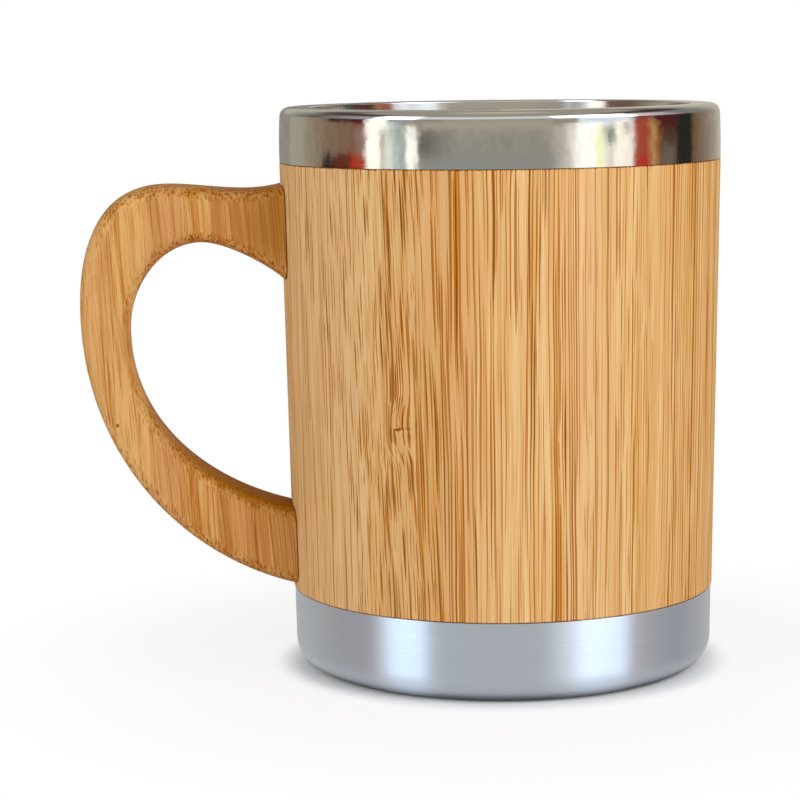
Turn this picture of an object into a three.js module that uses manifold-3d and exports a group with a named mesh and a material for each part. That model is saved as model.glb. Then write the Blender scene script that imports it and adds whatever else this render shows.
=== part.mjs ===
// A mug: a double-walled steel cup in a turned bamboo sleeve, with a bamboo handle screwed to the sleeve.
// Millimetres, +Z up. The origin is the centre of the underside, and the handle points along -X.
import * as THREE from "three";
import { mergeVertices } from "three/addons/utils/BufferGeometryUtils.js";
import Module from "manifold-3d";

const wasm = await Module();
wasm.setup();

// Outside of the cup
const CUP_HEIGHT = 102.2;
const RIM_RADIUS = 40; // outside of the polished band, and of the sleeve just below it
const RIM_BAND_HEIGHT = 9.8;
const BASE_CAP_HEIGHT = 14.5;
const BODY_TAPER = 1.4; // radius lost from the band down to the cap
const BASE_STEP = 0.15; // the sleeve stands this far proud of the cap

// Sheet steel
const BAND_SHEET = 0.6;
const CAP_SHEET = 0.6;
const SHELL_SHEET = 0.5;
const LINER_SHEET = 0.5;
const LIP_OUTER_RADIUS = 2;
const LIP_INNER_RADIUS = 1.4;
const LIP_TURN_DOWN = 4; // how far the lip reaches into the mouth, to its weld with the liner
const CAP_EDGE_RADIUS = 4.8;
const SHELL_EDGE_RADIUS = 5;
const LINER_EDGE_RADIUS = 7;

// Stiffening bead pressed into the underside
const BEAD_RADIUS = 24;
const BEAD_WIDTH = 5;
const BEAD_HEIGHT = 1.1;
const BEAD_SLOPE_WIDTH = 1.1;

// Spaces between the walls
const JOIN_GAP = 0.3; // glue, weld or seam between two neighbours
const AIR_GAP = 1;
const FLOOR_AIR_GAP = 2;
const CAP_FLOOR_SPACE = 2.6; // from the cap's sheet up to the outer wall's bottom

// Bamboo sleeve
const SLEEVE_WALL = 3.6;
const RIM_LAP = 6.8; // tongue inside the band
const CAP_LAP = 8; // tongue inside the cap
const SLEEVE_EDGE_RADIUS = 0.4;

// Bamboo handle, drawn in the plane through the cup's axis
const HANDLE_WIDTH = 13.5;
const HANDLE_EDGE_RADIUS = 2.6;
const HANDLE_DROP = 3.7; // from the band's edge down to the crown of the upper arm
const HANDLE_RISE = 1.4; // from the cap's edge up to the lower joint
const HANDLE_REACH = 36.4; // from the sleeve to the outside of the grip
const CROWN_REACH = 20.4; // from the sleeve to the crown
const ARCH_REACH = 14.4; // from the sleeve to the highest point inside the handle
const GRIP_DROP = 22.2; // from the crown down to the outermost point
const ARCH_DROP = 16.5; // from the arch down to the innermost point of the grip
const ARM_DEPTH = 10.2;
const GRIP_DEPTH = 8.9;
const UPPER_JOINT_HEIGHT = 17;
const UPPER_JOINT_DIP = 0.2; // the joint's top edge below the crown
const LOWER_JOINT_HEIGHT = 14.2;
const UPPER_JOINT_SLOPE = 0.27; // slopes of the outline where it meets the sleeve
const UNDERARM_SLOPE = 1.15;
const LOWER_JOINT_SLOPE = 0.26;

// Fullness of each bend: the share of the way to the corner that its curve is pulled, 0.55 in a circle
const SHOULDER_FULLNESS = 0.655;
const ARCH_FULLNESS = 0.56;
const LOWER_FULLNESS = 0.53;
const SADDLE_FULLNESS = 0.32;
const UNDERARM_FULLNESS = 0.3;

// Countersunk wood screws that hold the handle from inside the sleeve
const SCREW_RADIUS = 1.75;
const SCREW_HEAD_RADIUS = 3.5;
const SCREW_HEAD_RECESS = 0.5; // below the sleeve's bore
const SCREW_BITE = 12; // length in the handle
const SCREW_POINT = 3;

// Fineness of the facets
const TURN_STEPS = 60;
const SCREW_TURN_STEPS = 20;
const BEND_STEPS = 4;
const CURVE_STEPS = 16;
const HANDLE_EDGE_STEPS = 4;

// Heights of the two visible seams, and the tapered line that every wall runs along
const BAND_EDGE_Z = CUP_HEIGHT - RIM_BAND_HEIGHT;
const CAP_EDGE_Z = BASE_CAP_HEIGHT;
const wallRadius = (z, inset = 0) =>
  RIM_RADIUS - inset - (BODY_TAPER * (BAND_EDGE_Z - z)) / (BAND_EDGE_Z - CAP_EDGE_Z);

// How far each wall lies inside the sleeve's outer face
const BORE_INSET = SLEEVE_WALL;
const SHELL_INSET = BORE_INSET + JOIN_GAP;
const LINER_INSET = SHELL_INSET + SHELL_SHEET + AIR_GAP;
const MOUTH_INSET = LINER_INSET + LINER_SHEET;

// Floors, from the table up
const SHELL_BOTTOM_Z = CAP_SHEET + CAP_FLOOR_SPACE;
const LINER_BOTTOM_Z = SHELL_BOTTOM_Z + SHELL_SHEET + FLOOR_AIR_GAP;
const FLOOR_Z = LINER_BOTTOM_Z + LINER_SHEET;

// A closed geometry as a solid, without the slivers that a revolve leaves on its axis.
function toSolid(geometry) {
  geometry.deleteAttribute("normal");
  geometry.deleteAttribute("uv");
  const merged = mergeVertices(geometry, 1e-4);
  const triVerts = [];
  for (let i = 0; i < merged.index.count; i += 3) {
    const [a, b, c] = merged.index.array.slice(i, i + 3);
    if (a !== b && b !== c && c !== a) triVerts.push(a, b, c);
  }
  return new wasm.Manifold(
    new wasm.Mesh({
      numProp: 3,
      vertProperties: merged.attributes.position.array,
      triVerts: new Uint32Array(triVerts),
    }),
  );
}

function toMesh(name, solid, material) {
  const { vertProperties, triVerts } = solid.getMesh();
  const geometry = new THREE.BufferGeometry();
  geometry.setAttribute("position", new THREE.BufferAttribute(vertProperties, 3));
  geometry.setIndex(new THREE.BufferAttribute(triVerts, 1));
  geometry.computeVertexNormals();
  const mesh = new THREE.Mesh(geometry, material);
  mesh.name = name;
  return mesh;
}

// Points along a line of corners [radius, height, bend radius], each corner rounded by its own bend.
function bentLine(corners) {
  const points = [];
  corners.forEach(([r, z, bend = 0], i) => {
    const corner = new THREE.Vector2(r, z);
    if (bend <= 0 || i === 0 || i === corners.length - 1) {
      points.push(corner);
      return;
    }
    const back = new THREE.Vector2(...corners[i - 1]).sub(corner).normalize();
    const ahead = new THREE.Vector2(...corners[i + 1]).sub(corner).normalize();
    const half = Math.acos(back.dot(ahead)) / 2;
    const inward = back.clone().add(ahead).normalize();
    const centre = corner.clone().addScaledVector(inward, bend / Math.sin(half));
    const start = corner.clone().addScaledVector(back, bend / Math.tan(half)).sub(centre);
    const turn = (Math.PI - 2 * half) * Math.sign(ahead.cross(back));
    for (let k = 0; k <= BEND_STEPS; k++) {
      const spoke = start.clone().rotateAround(new THREE.Vector2(), (turn * k) / BEND_STEPS);
      points.push(centre.clone().add(spoke));
    }
  });
  return points;
}

// Pressed sheet: a bent line for its outer face, and the same line set in on its left by the sheet's thickness.
function pressedSheet(corners, sheet) {
  const inner = corners.map(([r, z, bend = 0], i) => {
    const here = new THREE.Vector2(r, z);
    const before = i > 0 ? new THREE.Vector2(...corners[i - 1]) : null;
    const after = i < corners.length - 1 ? new THREE.Vector2(...corners[i + 1]) : null;
    const into = before ? here.clone().sub(before).normalize() : after.clone().sub(here).normalize();
    const out = after ? after.clone().sub(here).normalize() : into;
    const normal = new THREE.Vector2(-into.y - out.y, into.x + out.x).normalize();
    const miter = sheet / normal.dot(new THREE.Vector2(-into.y, into.x));
    const turn = Math.sign(into.cross(out));
    return [r + normal.x * miter, z + normal.y * miter, Math.max(0, bend - turn * sheet)];
  });
  return [...bentLine(corners), ...bentLine(inner).reverse()];
}

// A solid of revolution about Z, from a profile that runs anticlockwise round its material.
function turned(profile, steps = TURN_STEPS) {
  const points = profile.map((p) => new THREE.Vector2(Math.max(0, p.x), p.y));
  if (points[0].x > 0 || points.at(-1).x > 0) points.push(points[0].clone());
  return toSolid(new THREE.LatheGeometry(points, steps).rotateX(Math.PI / 2));
}

// Rim band: up the outside, over the lip and down into the mouth
const lipEnd = CUP_HEIGHT - LIP_TURN_DOWN;
const mouthRadius = wallRadius(CUP_HEIGHT, MOUTH_INSET);
const rimBand = turned(
  pressedSheet(
    [
      [RIM_RADIUS, BAND_EDGE_Z],
      [RIM_RADIUS, CUP_HEIGHT, LIP_OUTER_RADIUS],
      [mouthRadius, CUP_HEIGHT, LIP_INNER_RADIUS],
      [mouthRadius, lipEnd],
    ],
    BAND_SHEET,
  ),
);

// Liner: a drawn cup whose inside continues the lip
const linerTop = lipEnd - JOIN_GAP;
const innerCup = turned(
  pressedSheet(
    [
      [mouthRadius, linerTop],
      [wallRadius(FLOOR_Z, MOUTH_INSET), FLOOR_Z, LINER_EDGE_RADIUS],
      [0, FLOOR_Z],
    ],
    LINER_SHEET,
  ),
);

// Outer wall: a drawn cup round the liner, with air between the two
const shellTop = CUP_HEIGHT - BAND_SHEET - JOIN_GAP;
const outerShell = turned(
  pressedSheet(
    [
      [0, SHELL_BOTTOM_Z],
      [wallRadius(SHELL_BOTTOM_Z, SHELL_INSET), SHELL_BOTTOM_Z, SHELL_EDGE_RADIUS],
      [wallRadius(shellTop, SHELL_INSET), shellTop],
    ],
    SHELL_SHEET,
  ),
);

// Base cap: the flat underside with its pressed bead, the rounded edge and the brushed wall
const capRadius = (z) => wallRadius(z, BASE_STEP);
const beadOut = BEAD_RADIUS + BEAD_WIDTH / 2;
const beadIn = BEAD_RADIUS - BEAD_WIDTH / 2;
const baseCap = turned(
  pressedSheet(
    [
      [0, 0],
      [beadIn - BEAD_SLOPE_WIDTH, 0],
      [beadIn, BEAD_HEIGHT],
      [beadOut, BEAD_HEIGHT],
      [beadOut + BEAD_SLOPE_WIDTH, 0],
      [capRadius(0), 0, CAP_EDGE_RADIUS],
      [capRadius(CAP_EDGE_Z), CAP_EDGE_Z],
    ],
    CAP_SHEET,
  ),
);

// Screws: a countersunk head, a plain shank and a point, lying along -X with the head towards the axis
function screw(headX, height, length, clearance = 0) {
  const shank = SCREW_RADIUS + clearance;
  const head = SCREW_HEAD_RADIUS + clearance;
  const profile = [
    [0, -length - clearance],
    [shank, SCREW_POINT - length],
    [shank, shank - head],
    [head, 0],
    [head, clearance ? SLEEVE_WALL : 0],
    [0, clearance ? SLEEVE_WALL : 0],
  ].map(([r, z]) => new THREE.Vector2(r, z));
  return turned(profile, SCREW_TURN_STEPS).rotate([0, 90, 0]).translate([headX, 0, height]);
}

// Handle: heights of its main points above the table
const crownZ = BAND_EDGE_Z - HANDLE_DROP;
const archZ = crownZ - ARM_DEPTH;
const upperJointTopZ = crownZ - UPPER_JOINT_DIP;
const upperJointFootZ = upperJointTopZ - UPPER_JOINT_HEIGHT;
const lowerJointFootZ = CAP_EDGE_Z + HANDLE_RISE;
const lowerJointTopZ = lowerJointFootZ + LOWER_JOINT_HEIGHT;

// The two screws sit in the middle of the upper arm and of the lower joint
const screwHeights = {
  handle_screw_upper: (crownZ + archZ) / 2,
  handle_screw_lower: (lowerJointTopZ + lowerJointFootZ) / 2,
};
const screwPlaces = Object.entries(screwHeights).map(([name, height]) => ({
  name,
  height,
  headX: -wallRadius(height, BORE_INSET) - SCREW_HEAD_RECESS,
  length: SLEEVE_WALL - SCREW_HEAD_RECESS + SCREW_BITE,
}));
const screwHoles = screwPlaces
  .map(({ headX, height, length }) => screw(headX, height, length, JOIN_GAP))
  .reduce((all, hole) => all.add(hole));

// Sleeve: a tapered tube with a tongue at each end for the band and the cap to lap over
const tongueTopRadius = RIM_RADIUS - BAND_SHEET - JOIN_GAP;
const tongueTopZ = BAND_EDGE_Z + RIM_LAP;
const tongueFootZ = CAP_EDGE_Z - CAP_LAP;
const tongueFootRadius = (z) => capRadius(z) - CAP_SHEET - JOIN_GAP;
const upperShoulderZ = BAND_EDGE_Z - JOIN_GAP;
const lowerShoulderZ = CAP_EDGE_Z + JOIN_GAP;
const sleeveProfile = bentLine([
  [wallRadius(tongueFootZ, BORE_INSET), tongueFootZ],
  [tongueFootRadius(tongueFootZ), tongueFootZ],
  [tongueFootRadius(lowerShoulderZ), lowerShoulderZ],
  [wallRadius(lowerShoulderZ), lowerShoulderZ, SLEEVE_EDGE_RADIUS],
  [wallRadius(upperShoulderZ), upperShoulderZ, SLEEVE_EDGE_RADIUS],
  [tongueTopRadius, upperShoulderZ],
  [tongueTopRadius, tongueTopZ],
  [wallRadius(tongueTopZ, BORE_INSET), tongueTopZ],
]);
const bambooSleeve = turned(sleeveProfile).subtract(screwHoles);

// Adds a curve to the outline that leaves and arrives along the given directions, pulled by its fullness.
function bend(shape, from, to, leave, arrive, fullness) {
  const pull = (direction) => {
    const along = Math.abs(direction.x) >= Math.abs(direction.y) ? to.x - from.x : to.y - from.y;
    const unit = Math.max(Math.abs(direction.x), Math.abs(direction.y));
    return (fullness * Math.abs(along)) / unit;
  };
  const first = from.clone().addScaledVector(leave, pull(leave));
  const second = to.clone().addScaledVector(arrive, -pull(arrive));
  shape.bezierCurveTo(first.x, first.y, second.x, second.y, to.x, to.y);
}

// Outline from the upper joint over the crown, round the grip to the lower joint, and back along the inside
function handleOutline() {
  const at = (reach, z) => new THREE.Vector2(-RIM_RADIUS - reach, z);
  const onSleeve = (z) => new THREE.Vector2(-wallRadius(z), z);
  const upperTop = onSleeve(upperJointTopZ);
  const crown = at(CROWN_REACH, crownZ);
  const grip = at(HANDLE_REACH, crownZ - GRIP_DROP);
  const lowerFoot = onSleeve(lowerJointFootZ);
  const lowerTop = onSleeve(lowerJointTopZ);
  const gripInside = at(HANDLE_REACH - GRIP_DEPTH, archZ - ARCH_DROP);
  const arch = at(ARCH_REACH, archZ);
  const upperFoot = onSleeve(upperJointFootZ);

  const left = new THREE.Vector2(-1, 0);
  const right = new THREE.Vector2(1, 0);
  const down = new THREE.Vector2(0, -1);
  const up = new THREE.Vector2(0, 1);
  const outOfUpper = new THREE.Vector2(-1, -UPPER_JOINT_SLOPE);
  const intoLower = new THREE.Vector2(1, -LOWER_JOINT_SLOPE);
  const intoUnderarm = new THREE.Vector2(1, -UNDERARM_SLOPE);

  // The ends run on into the sleeve, where the coped cut takes them off
  const overrun = (point, direction) => point.clone().addScaledVector(direction, SLEEVE_WALL);
  const start = overrun(upperTop, outOfUpper.clone().negate());
  const lowerEnd = overrun(lowerFoot, intoLower);
  const lowerStart = overrun(lowerTop, intoLower);
  const end = overrun(upperFoot, intoUnderarm);

  const shape = new THREE.Shape();
  shape.moveTo(start.x, start.y);
  shape.lineTo(upperTop.x, upperTop.y);
  bend(shape, upperTop, crown, outOfUpper, left, SADDLE_FULLNESS);
  bend(shape, crown, grip, left, down, SHOULDER_FULLNESS);
  bend(shape, grip, lowerFoot, down, intoLower, LOWER_FULLNESS);
  shape.lineTo(lowerEnd.x, lowerEnd.y);
  shape.lineTo(lowerStart.x, lowerStart.y);
  shape.lineTo(lowerTop.x, lowerTop.y);
  bend(shape, lowerTop, gripInside, intoLower.clone().negate(), up, LOWER_FULLNESS);
  bend(shape, gripInside, arch, up, right, ARCH_FULLNESS);
  bend(shape, arch, upperFoot, right, intoUnderarm, UNDERARM_FULLNESS);
  shape.lineTo(end.x, end.y);
  return shape;
}

const handleBlank = toSolid(
  new THREE.ExtrudeGeometry(handleOutline(), {
    depth: HANDLE_WIDTH - 2 * HANDLE_EDGE_RADIUS,
    curveSegments: CURVE_STEPS,
    bevelEnabled: true,
    bevelThickness: HANDLE_EDGE_RADIUS,
    bevelSize: HANDLE_EDGE_RADIUS,
    bevelOffset: -HANDLE_EDGE_RADIUS,
    bevelSegments: HANDLE_EDGE_STEPS,
  })
    .rotateX(Math.PI / 2)
    .translate(0, HANDLE_WIDTH / 2 - HANDLE_EDGE_RADIUS, 0),
);
const copeCut = turned(
  [
    [0, 0],
    [wallRadius(0) + JOIN_GAP, 0],
    [wallRadius(CUP_HEIGHT) + JOIN_GAP, CUP_HEIGHT],
    [0, CUP_HEIGHT],
  ].map(([r, z]) => new THREE.Vector2(r, z)),
);
const handle = handleBlank.subtract(copeCut).subtract(screwHoles);

const polishedSteel = new THREE.MeshStandardMaterial({ color: 0xd6d6d3, roughness: 0.06, metalness: 1 });
const satinSteel = new THREE.MeshStandardMaterial({ color: 0xc9cacb, roughness: 0.3, metalness: 1 });
const brushedSteel = new THREE.MeshStandardMaterial({ color: 0xb4b7bb, roughness: 0.38, metalness: 1 });
const platedSteel = new THREE.MeshStandardMaterial({ color: 0xc2bfb4, roughness: 0.4, metalness: 1 });
const bamboo = new THREE.MeshStandardMaterial({ color: 0xd6a56e, roughness: 0.5, metalness: 0 });
const handleBamboo = new THREE.MeshStandardMaterial({ color: 0xc88f55, roughness: 0.5, metalness: 0 });

const mug = new THREE.Group();
mug.add(
  toMesh("inner_cup", innerCup, satinSteel),
  toMesh("rim_band", rimBand, polishedSteel),
  toMesh("outer_shell", outerShell, satinSteel),
  toMesh("bamboo_sleeve", bambooSleeve, bamboo),
  toMesh("base_cap", baseCap, brushedSteel),
  toMesh("handle", handle, handleBamboo),
);
for (const { name, height, headX, length } of screwPlaces) {
  mug.add(toMesh(name, screw(headX, height, length), platedSteel));
}
export default mug;
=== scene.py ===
"""A steel mug in a turned bamboo sleeve with a bamboo handle, finished round its CAD frame.

Sizes are written in millimetres and reach the meshes through MM. +Z is up, and the handle points along -X.
"""

import math

import bmesh
import bpy
from mathutils import Matrix, Vector


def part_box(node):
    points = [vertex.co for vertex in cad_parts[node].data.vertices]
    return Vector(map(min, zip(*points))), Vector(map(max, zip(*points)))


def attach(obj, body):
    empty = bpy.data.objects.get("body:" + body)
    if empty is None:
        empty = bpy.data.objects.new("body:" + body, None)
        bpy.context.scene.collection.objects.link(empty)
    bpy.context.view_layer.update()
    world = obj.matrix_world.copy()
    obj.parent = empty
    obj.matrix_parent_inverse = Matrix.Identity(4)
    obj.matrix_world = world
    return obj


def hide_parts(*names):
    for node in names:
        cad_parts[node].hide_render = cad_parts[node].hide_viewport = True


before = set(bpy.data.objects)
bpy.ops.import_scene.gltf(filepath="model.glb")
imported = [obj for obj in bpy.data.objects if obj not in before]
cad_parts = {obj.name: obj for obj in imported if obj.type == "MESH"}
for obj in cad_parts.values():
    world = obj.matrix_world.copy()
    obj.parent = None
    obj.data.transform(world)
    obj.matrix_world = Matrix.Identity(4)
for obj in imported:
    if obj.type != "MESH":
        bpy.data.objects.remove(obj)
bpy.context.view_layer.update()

MM = 0.001
TURN_STEPS = 192
BEND_STEPS = 8
ROUND = 0.5  # the bevel profile of a true arc
WELD = 0.001  # points closer than this become one
CREASE = 35.0  # edges sharper than this many degrees stay sharp

# Main sizes, read from the frame
band_low, band_high = (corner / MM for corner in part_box("rim_band"))
_, cap_high = (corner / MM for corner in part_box("base_cap"))
sleeve_low, sleeve_high = (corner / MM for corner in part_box("bamboo_sleeve"))
handle_low, handle_high = (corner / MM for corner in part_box("handle"))
liner_low, liner_high = (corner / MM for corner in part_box("inner_cup"))
RIM_RADIUS = band_high.x
CUP_HEIGHT = band_high.z
BAND_EDGE = band_low.z
CAP_EDGE = cap_high.z
HANDLE_REACH = -handle_low.x - RIM_RADIUS
HANDLE_WIDTH = handle_high.y - handle_low.y

# Sheet steel and seams
BODY_TAPER = 1.4  # the body's radius shrinks this much from the band's edge to the cap's
BASE_STEP = 0.15  # the cap lies this far inside the body's line
SHEET = 0.6
LINER_SHEET = 0.5
JOIN_GAP = 0.3
LIP_OUTER_BEND = 1.5
LIP_INNER_BEND = 0.3
LIP_DEPTH = 4.0
MOUTH_INSET = 5.9  # from the body's line in to the mouth
MOUTH_FLARE = 0.2
BAND_BARREL = 108.0  # radius of the band's faint barrel, seen from the side
BAND_FULLEST = 2.3  # height above the band's edge at which the barrel is fullest
BAND_STEPS = 8
CAP_BEND = 4.8
LINER_BEND = 7.0
BEAD_RADIUS = 24.0
BEAD_WIDTH = 5.0
BEAD_HEIGHT = 1.1
BEAD_SLOPE = 1.1
BEAD_BEND = 0.5
SLEEVE_WALL = 3.6
SLEEVE_EDGE = 0.25
SEAM = 0.1

# Handle, drawn in the plane through the cup's axis
HANDLE_EDGE = 2.6
HANDLE_EDGE_STEPS = 8
SIDE_FACING = 0.5  # faces turned this far to the front or back are the handle's sides
JOINT_EDGE = 0.25
JOINT_EDGE_STEPS = 3
JOINT_GAP = 0.2
JOINT_SLACK = 0.02  # points this close to the cut belong to it
HANDLE_CROWN = BAND_EDGE - 3.7
CROWN_REACH = 20.4
ARCH_REACH = 14.4
GRIP_DROP = 22.2
ARCH_DROP = 16.5
ARM_DEPTH = 10.2
GRIP_DEPTH = 8.9
UPPER_JOINT = (HANDLE_CROWN - 0.2, HANDLE_CROWN - 17.2)
LOWER_JOINT = (CAP_EDGE + 1.4, CAP_EDGE + 15.6)
UPPER_SLOPE = 0.27
UNDERARM_SLOPE = 1.15
LOWER_SLOPE = 0.26
# Fullness: how far a bend keeps its direction, as a share of the way to its other end. A third draws a straight line.
SHOULDER_FULLNESS = 0.655
ARCH_FULLNESS = 0.56
LOWER_FULLNESS = 0.53
SADDLE_FULLNESS = 0.32
UNDERARM_FULLNESS = 0.3
STRAIGHT = 1 / 3
CURVE_STEPS = 28


def wall_radius(height, inset=0.0):
    """Outside radius of the tapered body at a height, less an inset."""
    return RIM_RADIUS - inset - BODY_TAPER * (BAND_EDGE - height) / (BAND_EDGE - CAP_EDGE)


# -------------------- shader tools

SMOOTH = {"interpolation_type": "SMOOTHSTEP"}  # a range that eases in and out


def linear(hex_colour):
    """An sRGB hex colour as linear RGBA."""
    channels = [int(hex_colour[i : i + 2], 16) / 255 for i in (1, 3, 5)]
    return (*(c / 12.92 if c <= 0.04045 else ((c + 0.055) / 1.055) ** 2.4 for c in channels), 1.0)


def connect(tree, node, sockets):
    """Sets inputs of a node, each to a value, to an output or to another node's first output."""
    for key, value in sockets.items():
        if isinstance(value, bpy.types.Node):
            value = value.outputs[0]
        if isinstance(value, bpy.types.NodeSocket):
            tree.links.new(value, node.inputs[key])
        else:
            node.inputs[key].default_value = value


def add(tree, kind, sockets=None, **settings):
    """Adds a shader node. Sockets are its inputs, and settings are its properties."""
    node = tree.nodes.new("ShaderNode" + kind)
    for name, value in settings.items():
        setattr(node, name, value)
    connect(tree, node, sockets or {})
    return node


def new_material(name):
    """A material with an empty Principled shader, and its tree and shader."""
    material = bpy.data.materials.new(name)
    material.use_nodes = True
    return material, material.node_tree, material.node_tree.nodes["Principled BSDF"]


def about_axis(tree):
    """The place on the piece, that place on the ground plan, and its distance from the mug's axis."""
    place = add(tree, "TexCoord").outputs["Object"]
    plan = add(tree, "VectorMath", {0: place, 1: (1, 1, 0)}, operation="MULTIPLY")
    radius = add(tree, "VectorMath", {0: plan}, operation="LENGTH").outputs["Value"]
    return place, plan, radius


# -------------------- bamboo

# Noise seldom leaves this span, so it is stretched from here
NOISE_LOW, NOISE_HIGH = 0.3, 0.7
FINE_NOISE = {"Scale": 1.0, "Detail": 3.0, "Roughness": 0.65}

# Boards: rows of strips lie one behind the other, and each row of a strip differs a little
ROW_DEPTH = 21.0
ROW_STAGGER = 0.37  # each strip's rows start this share of a row later than its neighbour's
ROW_SHIFT = 50.0  # rows take their fibres from places up to this far apart
ROW_TONE = 0.12
FAR_TONES = (0.3, 0.9)  # range of tones drawn for strips on the far side
FAR_OFF = 100.0  # to a glue line, before any is counted
GLUE_LINE = (0.04, 0.16)  # distances at which a glue line begins to fade and is gone
GLUE_SHOW = 0.35

# Fibres: how far they wander across the strip and in depth, and over what length and width
WANDER_ACROSS, WANDER_DEEP = 0.8, 0.32
WANDER_LENGTH, WANDER_WIDTH = 26.0, 4.0
# Hairs and clouds of tone: their number in a millimetre across, in depth and along, and how much they change the tone
HAIRS, HAIR_TONE = (4.2, 4.2, 0.04), 0.6
CLOUDS, CLOUD_TONE = (0.6, 0.6, 0.016), 0.45
MOST_BLUSH = 0.5

# Bundles: they crowd in bands of this width and in deep strips, which makes them thicker
CROWD_WIDTH = 2.6
CROWD = (0.35, 1.15)
CROWD_BY_TONE = 0.6
SHEATH, HEART = 1.5, 0.75  # shares of a bundle's radius
SHEATH_STAIN = 0.48
WEAKEST = 0.5  # share of its sort's strength

# Oil: how far a face turns up or down to drink it and to take painted shade on a handle's low arm, and to show bundles
# cut across, and the oil's satin skin
END_SOAK = 0.1
SOAK_AND_SHADE_FACING = (0.2, 0.9)
SHADE_TO_SOAK_HEIGHTS = (34, 60)  # from the painted shade with oil on the low arm to the plain oil of cut ends
CUT_FACING = (0.1, 0.6)
CUT_GAIN = 0.3  # what a cut adds to a bundle's strength
OIL_ROUGHNESS = (0.55, 0.68)
OIL_GLOSS = 0.03
PORE_STRENGTH, PORE_DEPTH = 0.12, 0.03


def laid_strips(tree, strips, across):
    """Strips glued edge to edge: a strip's number, how far off a glue line is, and the strip's tone, dive and lean."""
    number, glue_gap = 0.0, FAR_OFF
    traits = strips[0][1:]
    for before, after in zip(strips, strips[1:]):
        edge = after[0]
        past = add(tree, "Math", {0: across, 1: edge}, operation="GREATER_THAN")
        number = add(tree, "Math", {0: past, 1: number}, operation="ADD")
        changes = [new - old for new, old in zip(after[1:], before[1:])]
        traits = [
            add(tree, "Math", {0: past, 1: change, 2: trait}, operation="MULTIPLY_ADD")
            for change, trait in zip(changes, traits)
        ]
        offset = add(tree, "Math", {0: across, 1: edge}, operation="SUBTRACT")
        offset = add(tree, "Math", {0: offset}, operation="ABSOLUTE")
        glue_gap = add(tree, "Math", {0: offset, 1: glue_gap}, operation="MINIMUM")
    return number, glue_gap, *traits


def grown_fibres(tree, across, depth, along, number, dive, lean, swell):
    """Where fibres run across and in depth: they follow the taper, lean and dive with their strip, and wander."""
    drop = add(tree, "Math", {0: BAND_EDGE, 1: along}, operation="SUBTRACT")
    spread = add(tree, "Math", {0: drop, 1: swell, 2: 1.0}, operation="MULTIPLY_ADD")
    wave = add(tree, "Math", {0: along, 1: 1 / WANDER_LENGTH}, operation="MULTIPLY")
    beside = add(tree, "Math", {0: across, 1: 1 / WANDER_WIDTH}, operation="MULTIPLY")
    wander_at = add(tree, "CombineXYZ", {0: wave, 1: number, 2: beside})
    wander = add(tree, "TexNoise", {"Vector": wander_at, "Scale": 1.0, "Detail": 1.0})
    drift_x, drift_y, _ = add(tree, "SeparateColor", {0: wander.outputs["Color"]}).outputs
    fibres = []
    for start, slope, drift, most in (
        (across, lean, drift_x, WANDER_ACROSS),
        (depth, dive, drift_y, WANDER_DEEP),
    ):
        line = add(tree, "Math", {0: start, 1: spread}, operation="MULTIPLY")
        line = add(tree, "Math", {0: along, 1: slope, 2: line}, operation="MULTIPLY_ADD")
        line = add(tree, "Math", {0: drift, 1: most, 2: line}, operation="MULTIPLY_ADD")
        fibres.append(line)
    return fibres


def stem_node(tree, grain, scar):
    """A node of the stem, where fibres bend in from above, stop at a ragged line and start again below it.
    Gives the bend, the patch below with other fibres, and the dark dashes along the line."""
    across, depth, along = add(tree, "SeparateXYZ", {0: grain}).outputs
    aside = add(tree, "Math", {0: across, 1: scar["across"]}, operation="SUBTRACT")
    aside = add(tree, "Math", {0: aside}, operation="ABSOLUTE")
    full, end = scar["half_width"]
    within = add(tree, "MapRange", {0: aside, 1: full, 2: end, 3: 1.0, 4: 0.0}, **SMOOTH)
    front = add(tree, "Math", {0: depth, 1: 0.0}, operation="LESS_THAN")
    within = add(tree, "Math", {0: within, 1: front}, operation="MULTIPLY")

    ragged = add(tree, "TexNoise", {"Vector": grain, "Scale": scar["ragged_scale"], "Detail": 2.0})
    above = add(tree, "Math", {0: along, 1: scar["height"] + scar["ragged"] / 2}, operation="SUBTRACT")
    above = add(tree, "Math", {0: ragged, 1: scar["ragged"], 2: above}, operation="MULTIPLY_ADD")
    line_gap = add(tree, "Math", {0: above}, operation="ABSOLUTE")
    bend = add(
        tree, "MapRange", {0: line_gap, 1: 0.0, 2: scar["bend_length"], 3: scar["bend"], 4: 0.0},
        interpolation_type="SMOOTHERSTEP",
    )
    bend = add(tree, "Math", {0: bend, 1: within}, operation="MULTIPLY")
    below = add(tree, "Math", {0: above, 1: 0.0}, operation="LESS_THAN")
    below = add(tree, "Math", {0: below, 1: within}, operation="MULTIPLY")
    below = add(tree, "Math", {0: below}, operation="ROUND")

    core, edge = scar["dash"]
    dash = add(tree, "MapRange", {0: line_gap, 1: core, 2: edge, 3: 1.0, 4: 0.0}, **SMOOTH)
    dash = add(tree, "Math", {0: dash, 1: within}, operation="MULTIPLY")
    pieces = add(tree, "TexNoise", {"Vector": grain, "Scale": scar["dash_scale"], "Detail": 1.0})
    gone, whole = scar["dash_breaks"]
    broken = add(tree, "MapRange", {0: pieces, 1: gone, 2: whole, 3: 0.0, 4: scar["dash_strength"]})
    dash = add(tree, "Math", {0: dash, 1: broken}, operation="MULTIPLY")
    return bend, below, dash


def spotted(tree, grain, spots, amount):
    """Raises an amount round each spot (centre, size of its core, full size, strength)."""
    for centre, core, size, strength in spots:
        away = add(tree, "VectorMath", {0: grain, 1: centre}, operation="DISTANCE").outputs["Value"]
        spot = add(tree, "MapRange", {0: away, 1: core, 2: size, 3: strength, 4: 0.0}, **SMOOTH)
        amount = add(tree, "Math", {0: amount, 1: spot}, operation="MAXIMUM")
    return amount


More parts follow.
